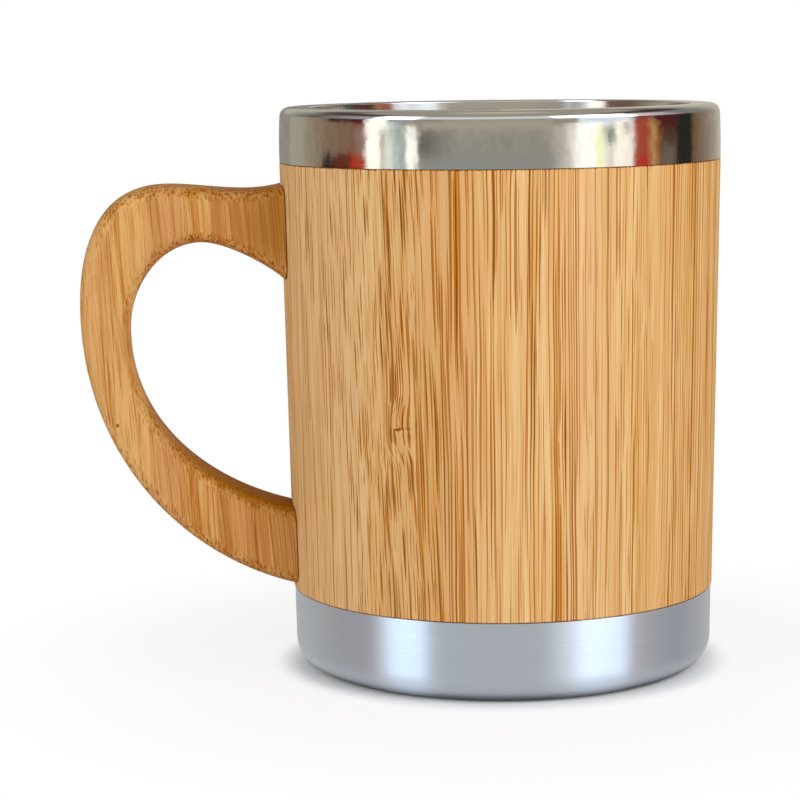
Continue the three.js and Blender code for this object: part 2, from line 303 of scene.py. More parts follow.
def fibre_bundles(tree, paints, sorts, fibre_at, crowd, cut, colour):
    """Draws each sort of bundle over the colour, a core in a stained sheath. Gives the colour and the last core."""
    for shade, spacing, thin, thick, strongest, swell_cut in sorts:
        bundles = add(tree, "TexVoronoi", {"Vector": fibre_at, "Scale": 1 / spacing}, voronoi_dimensions="2D")
        off = bundles.outputs["Distance"]
        size_draw, strength_draw, _ = add(tree, "SeparateColor", {0: bundles.outputs["Color"]}).outputs
        radius = add(tree, "MapRange", {0: size_draw, 3: thin / 2 / spacing, 4: thick / 2 / spacing})
        swollen = add(tree, "Math", {0: cut, 1: swell_cut, 2: crowd}, operation="MULTIPLY_ADD")
        radius = add(tree, "Math", {0: radius, 1: swollen}, operation="MULTIPLY")
        sheath = add(tree, "Math", {0: radius, 1: SHEATH}, operation="MULTIPLY")
        heart = add(tree, "Math", {0: radius, 1: HEART}, operation="MULTIPLY")
        strength = add(tree, "MapRange", {0: strength_draw, 3: strongest * WEAKEST, 4: strongest})
        strength = add(tree, "Math", {0: strength, 1: cut}, operation="ADD")
        for outside, inside, most, use in (
            (sheath, radius, SHEATH_STAIN, "stain"),
            (radius, heart, 1.0, shade),
        ):
            core = add(tree, "MapRange", {0: off, 1: outside, 2: inside, 3: 0.0, 4: most}, **SMOOTH)
            core = add(tree, "Math", {0: core, 1: strength}, operation="MULTIPLY", use_clamp=True)
            colour = add(tree, "Mix", {0: core, 6: colour, 7: paints[use]}, data_type="RGBA").outputs[2]
    return colour, core


def laminated_bamboo(
    name, colours, strips, sorts, seed, soak_and_shade, turn=0.0, swell=0.0, scar=None, shade_spots=(), specks=()
):
    """Side-pressed bamboo under a thin satin oil: strips glued edge to edge, each with its own tone and with dark
    fibre bundles that run up the strip, so that upright faces show streaks and cut ends show dots."""
    material, tree, shader = new_material(name)
    paints = {use: linear(colour) for use, colour in colours.items()}
    place = add(tree, "TexCoord").outputs["Object"]
    grain = add(tree, "Mapping", {"Vector": place, "Rotation": (0, 0, turn), "Scale": (1 / MM,) * 3})
    across, depth, along = add(tree, "SeparateXYZ", {0: grain}).outputs
    number, glue_gap, tone, dive, lean = laid_strips(tree, strips, across)

    # Each row of a strip draws its own differences, and strips on the far side draw their tones too
    stagger = add(tree, "Math", {0: number, 1: ROW_STAGGER}, operation="MULTIPLY")
    rows = add(tree, "Math", {0: depth, 1: 1 / ROW_DEPTH, 2: stagger}, operation="MULTIPLY_ADD")
    row = add(tree, "Math", {0: rows}, operation="FLOOR")
    key = add(tree, "CombineXYZ", {0: number, 1: row, 2: seed})
    draw = add(tree, "TexWhiteNoise", {"Vector": key}, noise_dimensions="3D").outputs
    far_draw, hue_draw, shift_draw = add(tree, "SeparateColor", {0: draw["Color"]}).outputs
    far = add(tree, "Math", {0: depth, 1: 0.0}, operation="GREATER_THAN")
    far_tone = add(tree, "MapRange", {0: far_draw, 3: FAR_TONES[0], 4: FAR_TONES[1]})
    strip_tone = add(tree, "Mix", {0: far, 2: tone, 3: far_tone})

    fibre_x, fibre_y = grown_fibres(tree, across, depth, along, number, dive, lean, swell)
    fibre_y = add(tree, "Math", {0: shift_draw, 1: ROW_SHIFT, 2: fibre_y}, operation="MULTIPLY_ADD")
    dash = 0.0
    if scar:
        bend, below, dash = stem_node(tree, grain, scar)
        fibre_x = add(tree, "Math", {0: fibre_x, 1: bend}, operation="ADD")
        fibre_y = add(tree, "Math", {0: below, 1: scar["jump"], 2: fibre_y}, operation="MULTIPLY_ADD")
    fibre_at = add(tree, "CombineXYZ", {0: fibre_x, 1: fibre_y, 2: along})

    # Hairs and clouds of tone, drawn out along the fibres
    hair_at = add(tree, "Mapping", {"Vector": fibre_at, "Scale": HAIRS})
    hairs = add(tree, "TexNoise", {"Vector": hair_at, **FINE_NOISE})
    hair_tone = add(tree, "MapRange", {0: hairs, 1: NOISE_LOW, 2: NOISE_HIGH, 3: -HAIR_TONE, 4: HAIR_TONE})
    cloud_at = add(tree, "Mapping", {"Vector": fibre_at, "Scale": CLOUDS})
    clouds = add(tree, "TexNoise", {"Vector": cloud_at, "Scale": 1.0, "Detail": 2.0})
    cloud_tone = add(tree, "MapRange", {0: clouds, 1: NOISE_LOW, 2: NOISE_HIGH, 3: -CLOUD_TONE, 4: CLOUD_TONE})
    row_tone = add(tree, "MapRange", {0: draw["Value"], 3: -ROW_TONE, 4: ROW_TONE})
    tone = add(tree, "Math", {0: strip_tone, 1: cloud_tone}, operation="ADD")
    tone = add(tree, "Math", {0: tone, 1: row_tone}, operation="ADD")
    tone = add(tree, "Math", {0: tone, 1: hair_tone}, operation="ADD", use_clamp=True)
    colour = add(tree, "Mix", {0: tone, 6: paints["pale"], 7: paints["deep"]}, data_type="RGBA").outputs[2]
    blush = add(tree, "Math", {0: hue_draw, 1: MOST_BLUSH}, operation="MULTIPLY")
    colour = add(tree, "Mix", {0: blush, 6: colour, 7: paints["blush"]}, data_type="RGBA").outputs[2]

    # Cut ends drink more oil, and on a handle's low arm the upper face takes painted shade from the upper arm over it,
    # in the same darker colour
    facing = add(tree, "SeparateXYZ", {0: add(tree, "NewGeometry").outputs["Normal"]}).outputs[2]
    soak_shade_mask = 0.0
    for side, low_soak_and_shade in zip((1, -1), soak_and_shade):
        start, full = (side * share for share in SOAK_AND_SHADE_FACING)
        most = add(tree, "MapRange", {0: along, 1: SHADE_TO_SOAK_HEIGHTS[0], 2: SHADE_TO_SOAK_HEIGHTS[1], 3: low_soak_and_shade, 4: END_SOAK})
        end = add(tree, "MapRange", {0: facing, 1: start, 2: full, 3: 0.0, 4: most}, **SMOOTH)
        soak_shade_mask = add(tree, "Math", {0: end, 1: soak_shade_mask}, operation="ADD")
    # Painted shade by the handle's upper joint darkens the same way
    soak_shade_mask = spotted(tree, grain, shade_spots, soak_shade_mask)
    colour = add(tree, "Mix", {0: soak_shade_mask, 6: colour, 7: paints["soaked_and_shaded"]}, data_type="RGBA").outputs[2]

    # Fibre bundles crowd in bands and in the deeper strips, and swell where they are cut across
    cut = add(tree, "Math", {0: facing}, operation="ABSOLUTE")
    cut = add(tree, "MapRange", {0: cut, 1: CUT_FACING[0], 2: CUT_FACING[1], 3: 0.0, 4: CUT_GAIN})
    crowd_at = add(tree, "CombineXYZ", {0: across, 1: row, 2: seed})
    crowd = add(tree, "TexNoise", {"Vector": crowd_at, "Scale": 1 / CROWD_WIDTH, "Detail": 1.0})
    crowd = add(tree, "MapRange", {0: crowd, 1: NOISE_LOW, 2: NOISE_HIGH, 3: CROWD[0], 4: CROWD[1]})
    crowd = add(tree, "Math", {0: strip_tone, 1: CROWD_BY_TONE, 2: crowd}, operation="MULTIPLY_ADD")
    colour, core = fibre_bundles(tree, paints, sorts, fibre_at, crowd, cut, colour)

    # Glue lines show faintly, here and there, and so do the dashes of a node and a speck or two
    glue = add(tree, "MapRange", {0: glue_gap, 1: GLUE_LINE[0], 2: GLUE_LINE[1], 3: GLUE_SHOW, 4: 0.0})
    glue = add(tree, "Math", {0: glue, 1: clouds}, operation="MULTIPLY")
    marks = add(tree, "Math", {0: glue, 1: dash}, operation="MAXIMUM")
    marks = spotted(tree, grain, specks, marks)
    colour = add(tree, "Mix", {0: marks, 6: colour, 7: paints["dark"]}, data_type="RGBA").outputs[2]

    smooth, dull = OIL_ROUGHNESS
    rough = add(tree, "MapRange", {0: hairs, 1: NOISE_LOW, 2: NOISE_HIGH, 3: smooth, 4: dull})
    height = add(tree, "Math", {0: hairs, 1: core}, operation="SUBTRACT")
    pores = add(tree, "Bump", {"Strength": PORE_STRENGTH, "Distance": PORE_DEPTH * MM, "Height": height})
    connect(tree, shader, {"Base Color": colour, "Roughness": rough, "Normal": pores, "Specular IOR Level": OIL_GLOSS})
    return material


# Bamboo strips: where each begins across the board, its tone from pale 0 to deep 1, and how steeply its fibres dive
# under the face and lean to the left
SLEEVE_STRIPS = (
    (-42.0, 0.3, 0.008, 0.0), (-35.1, 0.45, 0.008, 0.01), (-29.8, 0.4, 0.01, 0.02), (-25.2, 0.45, 0.009, 0.035),
    (-20.0, 0.85, 0.009, 0.045), (-14.4, 0.95, 0.008, 0.025), (-10.2, 1.3, 0.008, 0.01), (-4.3, 0.6, 0.009, 0.0),
    (0.1, 0.55, 0.008, -0.008), (6.8, 0.6, 0.008, 0.004), (11.0, 0.35, 0.007, 0.008), (16.0, 0.4, 0.005, 0.0),
    (20.5, 0.5, 0.003, -0.006), (25.1, 0.55, 0.003, 0.0), (31.9, 0.7, 0.003, 0.0),
)
HANDLE_STRIPS = (
    (-80.0, 0.2, 0.024, 0.06), (-70.5, 0.25, 0.02, 0.08), (-64.5, 0.45, 0.014, 0.07), (-58.0, 0.36, 0.012, 0.05),
    (-52.5, 0.6, 0.01, 0.08), (-46.0, 0.8, 0.01, 0.07),
)
# Sorts of bundle: colour, spacing, least and greatest thickness, strength, and swelling on cut ends
SLEEVE_BUNDLES = (("amber", 0.4, 0.06, 0.25, 1.0, 2.0), ("dark", 0.6, 0.04, 0.28, 1.0, 2.0))
HANDLE_BUNDLES = (("amber", 0.58, 0.12, 0.3, 0.55, 2.4), ("dark", 1.2, 0.07, 0.3, 0.65, 0.2))
SLEEVE_SEED, HANDLE_SEED = 3.0, 8.0
LAMINATION_TURN = math.radians(7.0)  # the sleeve's glue lines face the camera
SLEEVE_SWELL = 0.0004  # its fibres spread by this share for each millimetre down the taper
# The sleeve's node: its place, the half width it fills and where it ends, how ragged its line is, the bend of the
# fibres and the length it takes, the jump to other fibres, and the dashes: half thickness, fineness, breaks, strength
NODE_SCAR = {
    "across": -17.6, "height": 48.0, "half_width": (1.0, 3.0), "ragged": 1.6, "ragged_scale": 0.9,
    "bend": 1.1, "bend_length": 8.0, "jump": 9.7,
    "dash": (0.1, 0.45), "dash_scale": 1.3, "dash_breaks": (0.5, 0.6), "dash_strength": 0.85,
}
# A speck on the handle and painted shade on its front at the upper joint: centre, size of the core, full size and
# strength
PIN_KNOT = ((-70.2, -HANDLE_WIDTH / 2, 46.0), 0.15, 0.5, 0.95)
JOINT_SHADE = ((-40.0, -HANDLE_WIDTH / 2, 82.0), 3.0, 11.0, 0.6)
HANDLE_SOAK_AND_SHADE = (0.97, 0.0)  # painted shade with oil on the low arm's upper face, and oil under it
SLEEVE_COLOURS = {
    "pale": "#dfbb86", "deep": "#cb9856", "blush": "#d8ae80", "stain": "#c67a08", "amber": "#a25a02",
    "dark": "#6e3a00", "soaked_and_shaded": "#9a5a10",
}
HANDLE_COLOURS = {
    "pale": "#d3a466", "deep": "#aa6412", "blush": "#cb9864", "stain": "#b87010", "amber": "#8a4a00",
    "dark": "#743c00", "soaked_and_shaded": "#9c6402",
}
sleeve_bamboo = laminated_bamboo(
    "oiled_bamboo_sleeve", SLEEVE_COLOURS, SLEEVE_STRIPS, SLEEVE_BUNDLES, SLEEVE_SEED, soak_and_shade=(END_SOAK, END_SOAK),
    turn=LAMINATION_TURN, swell=SLEEVE_SWELL, scar=NODE_SCAR,
)
handle_bamboo = laminated_bamboo(
    "oiled_bamboo_handle", HANDLE_COLOURS, HANDLE_STRIPS, HANDLE_BUNDLES, HANDLE_SEED, soak_and_shade=HANDLE_SOAK_AND_SHADE,
    shade_spots=(JOINT_SHADE,), specks=(PIN_KNOT,),
)


# -------------------- steel

# Polished: roughness between and on the wipe marks, and what is added in the mouth, which is polished less
WIPE_SPAN = (0.3, 0.75)
POLISH_ROUGHNESS = (0.05, 0.1)
MOUTH_ROUGHNESS = 0.05
MOUTH_BLEND = (1.0, 4.0)  # from here to here inside the rim
RIPPLE_LENGTH = 9.0
RIPPLE_DEPTH = 0.03
BUFF_DEPTH = 0.008
POLISH_BUMP = 0.3
# Brushed: shades between and on the lines, and the lines' length and depth
BRUSH_SPAN = (0.25, 0.75)
BRUSH_SHADES = (0.94, 1.04)
BRUSH_LENGTH = 26.0
BRUSH_DEPTH = 0.02
BRUSH_BUMP = 0.15
QUARTER_TURN = 0.25
# Plated: width of the clouds and their roughness
PLATING_CLOUD = 2.5
PLATING_ROUGHNESS = (0.3, 0.5)


def turned_lines(tree, pitch, length):
    """Noise drawn out round the axis: fine across the line of the sheet, long round the turn."""
    place, plan, radius = about_axis(tree)
    height = add(tree, "SeparateXYZ", {0: place}).outputs[2]
    along = add(tree, "Math", {0: radius, 1: height}, operation="ADD")
    along = add(tree, "Math", {0: along, 1: 1 / (pitch * MM)}, operation="MULTIPLY")
    around = add(tree, "VectorMath", {0: plan}, operation="NORMALIZE")
    around = add(tree, "VectorMath", {0: around, "Scale": RIM_RADIUS / length}, operation="SCALE")
    at = add(tree, "VectorMath", {0: around, 1: add(tree, "CombineXYZ", {2: along})}, operation="ADD")
    return add(tree, "TexNoise", {"Vector": at, **FINE_NOISE})


def polished_steel():
    """Mirror-polished 18/8 stainless: sharp reflections with a faint ripple from pressing and hairline wipe marks."""
    material, tree, shader = new_material("polished_stainless")
    place, _, radius = about_axis(tree)
    wipes = turned_lines(tree, pitch=0.5, length=9.0)
    smooth, wiped = POLISH_ROUGHNESS
    rough = add(tree, "MapRange", {0: wipes, 1: WIPE_SPAN[0], 2: WIPE_SPAN[1], 3: smooth, 4: wiped})
    start, end = ((RIM_RADIUS - inset) * MM for inset in MOUTH_BLEND)
    inside = add(tree, "MapRange", {0: radius, 1: start, 2: end, 3: 0.0, 4: MOUTH_ROUGHNESS}, **SMOOTH)
    rough = add(tree, "Math", {0: rough, 1: inside}, operation="ADD")
    ripple = add(tree, "TexNoise", {"Vector": place, "Scale": 1 / (RIPPLE_LENGTH * MM), "Detail": 1.0})
    waves = add(tree, "Bump", {"Strength": POLISH_BUMP, "Distance": RIPPLE_DEPTH * MM, "Height": ripple})
    buffing = turned_lines(tree, pitch=0.4, length=2.5)
    buffed = add(
        tree, "Bump", {"Strength": POLISH_BUMP, "Distance": BUFF_DEPTH * MM, "Height": buffing, "Normal": waves}
    )
    connect(tree, shader, {"Base Color": linear("#cfccc6"), "Metallic": 1.0, "Roughness": rough, "Normal": buffed})
    return material


def brushed_steel(name, colour, low, high, anisotropy, pitch):
    """Stainless brushed on the lathe: fine lines run round the wall, so that highlights stretch up and down it."""
    material, tree, shader = new_material(name)
    lines = turned_lines(tree, pitch=pitch, length=BRUSH_LENGTH)
    dark, bright = BRUSH_SHADES
    shade = add(tree, "MapRange", {0: lines, 1: BRUSH_SPAN[0], 2: BRUSH_SPAN[1], 3: dark, 4: bright})
    tint = add(tree, "Mix", {0: 1.0, 6: linear(colour), 7: shade}, data_type="RGBA", blend_type="MULTIPLY")
    rough = add(tree, "MapRange", {0: lines, 1: NOISE_LOW, 2: NOISE_HIGH, 3: low, 4: high})
    tangent = add(tree, "Tangent", direction_type="RADIAL", axis="Z")
    scratches = add(tree, "Bump", {"Strength": BRUSH_BUMP, "Distance": BRUSH_DEPTH * MM, "Height": lines})
    connect(
        tree, shader,
        {
            "Base Color": tint.outputs[2], "Metallic": 1.0, "Roughness": rough, "Anisotropic": anisotropy,
            "Anisotropic Rotation": QUARTER_TURN, "Tangent": tangent, "Normal": scratches,
        },
    )
    return material


def plated_steel():
    """Zinc-plated wood screw: a dull, slightly yellow grey with cloudy plating."""
    material, tree, shader = new_material("zinc_plated_steel")
    place = add(tree, "TexCoord").outputs["Object"]
    clouds = add(tree, "TexNoise", {"Vector": place, "Scale": 1 / (PLATING_CLOUD * MM), "Detail": 3.0})
    colour = add(tree, "Mix", {0: clouds, 6: linear("#a9a698"), 7: linear("#c9c5b6")}, data_type="RGBA")
    rough = add(tree, "MapRange", {0: clouds, 3: PLATING_ROUGHNESS[0], 4: PLATING_ROUGHNESS[1]})
    connect(tree, shader, {"Base Color": colour.outputs[2], "Metallic": 1.0, "Roughness": rough})
    return material


polished = polished_steel()
brushed = brushed_steel("brushed_stainless", "#d6dde6", low=0.35, high=0.39, anisotropy=1.0, pitch=0.16)
satin = brushed_steel("satin_stainless", "#d0d0ce", low=0.24, high=0.34, anisotropy=0.5, pitch=0.2)
plated = plated_steel()


# -------------------- pieces


def in_scene(name, data):
    """A new object in the scene with this mesh, lamp or camera as its data."""
    thing = bpy.data.objects.new(name, data)
    bpy.context.scene.collection.objects.link(thing)
    return thing


def as_mesh(name, bm):
    """A mesh with the shape of the bmesh, which is used up."""
    mesh = bpy.data.meshes.new(name)
    bm.to_mesh(mesh)
    bm.free()
    return mesh


def finish_piece(name, bm, material, node):
    """Makes the shape a piece that stands for its CAD node: smooth but for its edges, and riding on the mug."""
    mesh = as_mesh(name, bm)
    mesh.shade_smooth()
    mesh.set_sharp_from_angle(angle=math.radians(CREASE))
    mesh.materials.append(material)
    piece = in_scene(name, mesh)
    flats = piece.modifiers.new("flats", "WEIGHTED_NORMAL")
    flats.keep_sharp = True
    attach(piece, "root")
    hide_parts(node)


def turned(corners, closed, sheet=0.0):
    """Turns a line of corners (radius, height, bend) about the axis, and gives an open line a sheet's thickness."""
    bm = bmesh.new()
    line = [bm.verts.new((r * MM, 0, z * MM)) for r, z, _ in corners]
    for start, end in zip(line, line[1:] + line[:1] if closed else line[1:]):
        bm.edges.new((start, end))
    for vert, (_, _, bend) in zip(line, corners):
        if bend:
            bmesh.ops.bevel(
                bm, geom=[vert], offset=bend * MM, offset_type="OFFSET", affect="VERTICES",
                segments=BEND_STEPS, profile=ROUND, material=-1,
            )
    bmesh.ops.spin(
        bm, geom=bm.verts[:] + bm.edges[:], cent=(0, 0, 0), axis=(0, 0, 1), angle=math.tau,
        steps=TURN_STEPS, use_merge=True,
    )
    bmesh.ops.remove_doubles(bm, verts=bm.verts[:], dist=WELD * MM)
    bmesh.ops.recalc_face_normals(bm, faces=bm.faces[:])
    if sheet:
        bmesh.ops.solidify(bm, geom=bm.faces[:], thickness=sheet * MM)
    return bm


mouth_radius = wall_radius(CUP_HEIGHT, MOUTH_INSET)


def band_radius(height):
    """Outside radius of the band at a height: pressed to a faint barrel, which draws the mirrored room together."""
    return RIM_RADIUS - (height - BAND_EDGE - BAND_FULLEST) ** 2 / (2 * BAND_BARREL)


band_wall = CUP_HEIGHT - LIP_OUTER_BEND - BAND_EDGE
band_heights = [BAND_EDGE + band_wall * step / BAND_STEPS for step in range(BAND_STEPS)]
band = turned(
    [
        *((band_radius(height), height, 0) for height in band_heights),
        (band_radius(CUP_HEIGHT), CUP_HEIGHT, LIP_OUTER_BEND),
        (mouth_radius + MOUTH_FLARE, CUP_HEIGHT, LIP_INNER_BEND),
        (mouth_radius, CUP_HEIGHT - LIP_DEPTH, 0),
    ],
    closed=False,
    sheet=SHEET,
)
finish_piece("polished_rim_band", band, polished, "rim_band")

liner_floor = liner_low.z + LINER_SHEET
liner = turned(
    [
        (mouth_radius, liner_high.z, 0),
        (wall_radius(liner_floor, MOUTH_INSET), liner_floor, LINER_BEND),
        (0, liner_floor, 0),
    ],
    closed=False,
    sheet=LINER_SHEET,
)
finish_piece("satin_liner", liner, satin, "inner_cup")

bead_out = BEAD_RADIUS + BEAD_WIDTH / 2
bead_in = BEAD_RADIUS - BEAD_WIDTH / 2
cap = turned(
    [
        (0, 0, 0),
        (bead_in - BEAD_SLOPE, 0, BEAD_BEND),
        (bead_in, BEAD_HEIGHT, BEAD_BEND),
        (bead_out, BEAD_HEIGHT, BEAD_BEND),
        (bead_out + BEAD_SLOPE, 0, BEAD_BEND),
        (wall_radius(0, BASE_STEP), 0, CAP_BEND),
        (wall_radius(CAP_EDGE, BASE_STEP), CAP_EDGE, 0),
    ],
    closed=False,
    sheet=SHEET,
)
finish_piece("brushed_base_cap", cap, brushed, "base_cap")

upper_shoulder = BAND_EDGE - SEAM
lower_shoulder = CAP_EDGE + SEAM
tongue_top = RIM_RADIUS - SHEET - JOIN_GAP
tongue_foot = BASE_STEP + SHEET + JOIN_GAP
sleeve = turned(
    [
        (wall_radius(sleeve_low.z, SLEEVE_WALL), sleeve_low.z, 0),
        (wall_radius(sleeve_low.z, tongue_foot), sleeve_low.z, 0),
        (wall_radius(lower_shoulder, tongue_foot), lower_shoulder, 0),
        (wall_radius(lower_shoulder), lower_shoulder, SLEEVE_EDGE),
        (wall_radius(upper_shoulder), upper_shoulder, SLEEVE_EDGE),
        (tongue_top, upper_shoulder, 0),
        (tongue_top, sleeve_high.z, 0),
        (wall_radius(sleeve_high.z, SLEEVE_WALL), sleeve_high.z, 0),
    ],
    closed=True,
)
finish_piece("turned_bamboo_sleeve", sleeve, sleeve_bamboo, "bamboo_sleeve")


def on_sleeve(height):
    """The point on the sleeve's face under the handle at a height."""
    return Vector((-wall_radius(height), 0, height))


def reach(distance, height):
    """The point in the handle's plane this far out from the rim."""
    return Vector((-RIM_RADIUS - distance, 0, height))


def drawn_line(curve, knots):
    """Adds a smooth line to the curve through knots (point, direction, fullness of the bend before it)."""
    spline = curve.splines.new("BEZIER")
    spline.bezier_points.add(len(knots) - 1)
    for i, (knot, (point, way, _)) in enumerate(zip(spline.bezier_points, knots)):
        knot.co = point * MM
        knot.handle_left_type = knot.handle_right_type = "FREE"
        knot.handle_left = knot.handle_right = point * MM
        for neighbour, sign in ((i - 1, -1), (i + 1, 1)):
            if 0 <= neighbour < len(knots):
                span = knots[neighbour][0] - point
                fullness = knots[max(i, neighbour)][2]
                axis = 0 if abs(way.x) >= abs(way.z) else 2
                pull = fullness * abs(span[axis]) / abs(way[axis])
                place = (point + way * pull * sign) * MM
                if sign < 0:
                    knot.handle_left = place
                else:
                    knot.handle_right = place


def cut_to_sleeve(blank):
    """Takes off what reaches into the sleeve, a glue line clear of it, and breaks the sharp edge of the cut."""
    cone = turned(
        [
            (0, 0, 0),
            (wall_radius(0) + JOINT_GAP, 0, 0),
            (wall_radius(CUP_HEIGHT) + JOINT_GAP, CUP_HEIGHT, 0),
            (0, CUP_HEIGHT, 0),
        ],
        closed=False,
    )
    board, cutter = (in_scene(name, as_mesh(name, bm)) for name, bm in (("board", blank), ("cutter", cone)))
    cope = board.modifiers.new("cope", "BOOLEAN")
    cope.object = cutter
    cope.solver = "EXACT"
    bpy.context.view_layer.update()
    bm = bmesh.new()
    bm.from_mesh(board.evaluated_get(bpy.context.evaluated_depsgraph_get()).data)
    for part in (board, cutter):
        bpy.data.objects.remove(part)
    bmesh.ops.remove_doubles(bm, verts=bm.verts[:], dist=WELD * MM)

    def on_cut(face):
        return all(
            abs(v.co.xy.length / MM - wall_radius(v.co.z / MM, -JOINT_GAP)) < JOINT_SLACK for v in face.verts
        )

    rim = [e for e in bm.edges if len({on_cut(f) for f in e.link_faces}) == 2]
    bmesh.ops.bevel(
        bm, geom=rim, offset=JOINT_EDGE * MM, offset_type="OFFSET", affect="EDGES",
        segments=JOINT_EDGE_STEPS, profile=ROUND, material=-1, clamp_overlap=True,
    )
    return bm


def coped_handle():
    """The handle's two outlines bridged to a strip, widened, rounded along its edges and cut to fit the sleeve."""
    outward, down = Vector((-1, 0, 0)), Vector((0, 0, -1))
    arch_height = HANDLE_CROWN - ARM_DEPTH
    out_of_upper = Vector((-1, 0, -UPPER_SLOPE))
    into_lower = Vector((1, 0, -LOWER_SLOPE))
    out_of_underarm = Vector((-1, 0, UNDERARM_SLOPE))
    upper_top, upper_foot = (on_sleeve(z) for z in UPPER_JOINT)
    lower_foot, lower_top = (on_sleeve(z) for z in LOWER_JOINT)
    outer = [
        (upper_top - out_of_upper * SLEEVE_WALL, out_of_upper, 0),
        (upper_top, out_of_upper, STRAIGHT),
        (reach(CROWN_REACH, HANDLE_CROWN), outward, SADDLE_FULLNESS),
        (reach(HANDLE_REACH, HANDLE_CROWN - GRIP_DROP), down, SHOULDER_FULLNESS),
        (lower_foot, into_lower, LOWER_FULLNESS),
        (lower_foot + into_lower * SLEEVE_WALL, into_lower, STRAIGHT),
    ]
    inner = [
        (upper_foot - out_of_underarm * SLEEVE_WALL, out_of_underarm, 0),
        (upper_foot, out_of_underarm, STRAIGHT),
        (reach(ARCH_REACH, arch_height), outward, UNDERARM_FULLNESS),
        (reach(HANDLE_REACH - GRIP_DEPTH, arch_height - ARCH_DROP), down, ARCH_FULLNESS),
        (lower_top, into_lower, LOWER_FULLNESS),
        (lower_top + into_lower * SLEEVE_WALL, into_lower, STRAIGHT),
    ]
    curve = bpy.data.curves.new("handle_outline", "CURVE")
    curve.dimensions = "3D"
    curve.resolution_u = CURVE_STEPS
    drawn_line(curve, outer)
    drawn_line(curve, inner)
    drawing = bpy.data.objects.new("handle_outline", curve)
    outline = bpy.data.meshes.new_from_object(drawing)
    bm = bmesh.new()
    bm.from_mesh(outline)
    bpy.data.objects.remove(drawing)
    bpy.data.curves.remove(curve)
    bpy.data.meshes.remove(outline)

    # A strip between the outlines, as wide as the handle, with the edges of its two sides rounded
    bmesh.ops.bridge_loops(bm, edges=bm.edges[:])
    bmesh.ops.translate(bm, verts=bm.verts[:], vec=(0, -HANDLE_WIDTH / 2 * MM, 0))
    grown = bmesh.ops.extrude_face_region(bm, geom=bm.faces[:], use_keep_orig=True)["geom"]
    back = [part for part in grown if isinstance(part, bmesh.types.BMVert)]
    bmesh.ops.translate(bm, verts=back, vec=(0, HANDLE_WIDTH * MM, 0))
    bmesh.ops.recalc_face_normals(bm, faces=bm.faces[:])
    edges = [e for e in bm.edges if len({abs(f.normal.y) > SIDE_FACING for f in e.link_faces}) == 2]
    bmesh.ops.bevel(
        bm, geom=edges, offset=HANDLE_EDGE * MM, offset_type="OFFSET", affect="EDGES",
        segments=HANDLE_EDGE_STEPS, profile=ROUND, material=-1,
    )
    return cut_to_sleeve(bm)


finish_piece("bamboo_handle", coped_handle(), handle_bamboo, "handle")

# Three CAD solids are hidden inside the mug and only take a finish
for node, material in (
    ("outer_shell", satin),
    ("handle_screw_upper", plated),
    ("handle_screw_lower", plated),
):
    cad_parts[node].material_slots[0].material = material


# -------------------- camera and white room

# The camera as fitted to the mug's rim, seams, sides and foot, with angles in degrees
CAMERA_PLACE = (-58.96, -480.19, 113.95)
CAMERA_PITCH = 7.731
CAMERA_HEADING = -4.796
CAMERA_ROLL = -0.71
LENS = 119.2
SENSOR_WIDTH = 36.0
NEAREST = 10  # anything closer to the camera isn't drawn
VIEW_TURN = math.radians(7.0)  # the camera stands this far round towards the handle
WHITE = (1, 1, 1, 1)
FILL_LEVEL = 0.24


def studio_place(bearing, distance, height):
    """A point seen from the mug at a bearing from the camera, to the right in the picture, in degrees."""
    turn = math.radians(bearing)
    towards = Vector((-math.sin(VIEW_TURN), -math.cos(VIEW_TURN), 0))
    rightwards = Vector((math.cos(VIEW_TURN), -math.sin(VIEW_TURN), 0))
    return (towards * math.cos(turn) + rightwards * math.sin(turn)) * distance * MM + Vector((0, 0, height * MM))


camera_data = bpy.data.cameras.new("camera")
camera_data.lens = LENS
camera_data.sensor_width = SENSOR_WIDTH
camera_data.clip_start = NEAREST * MM
camera = in_scene("camera", camera_data)
camera.matrix_world = (
    Matrix.Translation(Vector(CAMERA_PLACE) * MM)
    @ Matrix.Rotation(math.radians(CAMERA_HEADING), 4, "Z")
    @ Matrix.Rotation(math.radians(90 - CAMERA_PITCH), 4, "X")
    @ Matrix.Rotation(math.radians(CAMERA_ROLL), 4, "Z")
)
bpy.context.scene.camera = camera
bpy.context.scene.view_settings.view_transform = "Standard"

world = bpy.data.worlds.new("white_room")
bpy.context.scene.world = world
world.use_nodes = True
sky = world.node_tree
sky.nodes.clear()
rays = add(sky, "LightPath").outputs
seen = add(sky, "Math", {0: rays["Is Camera Ray"], 1: rays["Is Glossy Ray"]}, operation="MAXIMUM")
seen = add(sky, "Math", {0: seen, 1: rays["Is Transmission Ray"]}, operation="MAXIMUM")
fill = add(sky, "Background", {"Color": WHITE, "Strength": FILL_LEVEL})
backdrop = add(sky, "Background", {"Color": WHITE, "Strength": 1.0})
add(sky, "OutputWorld", {"Surface": add(sky, "MixShader", {0: seen, 1: fill, 2: backdrop})})


# -------------------- floor and lamps

PAPER_RADIUS = 3000
PAPER_DROP = 0.05
PAPER_COLOUR = "#f6f6f5"
PAPER_BOUNCE = "#f5f5f5"  # the colour its light takes to the mug
PAPER_ROUGHNESS = 0.9
PAPER_GLOSS = 0.1
# The camera sees the paper run out to plain white: radius from, radius to, and share of white gained
RUN_OUT = ((37, 43, 0.8), (43, 110, 0.2))
# Steel mirrors the paper darker under the foot: radius from and to, and its strength there and farther out
FOOT_SHADE = (36.4, 38.2, 0.04, 0.64)
AIM_HEIGHT = 50
CIRCLE_STEPS = 96
# Lamps: bearing, distance and height, the panel's width and height, and its level
LAMPS = {
    "right_softbox": (54.5, 900, 480, 671, 740, 3.85),
    "left_softbox": (-54.5, 900, 370, 442, 500, 4.75),
    "front_light": (8, 1000, 420, 900, 700, 1.45),
    "back_light": (180, 1000, 420, 900, 700, 2.0),
}


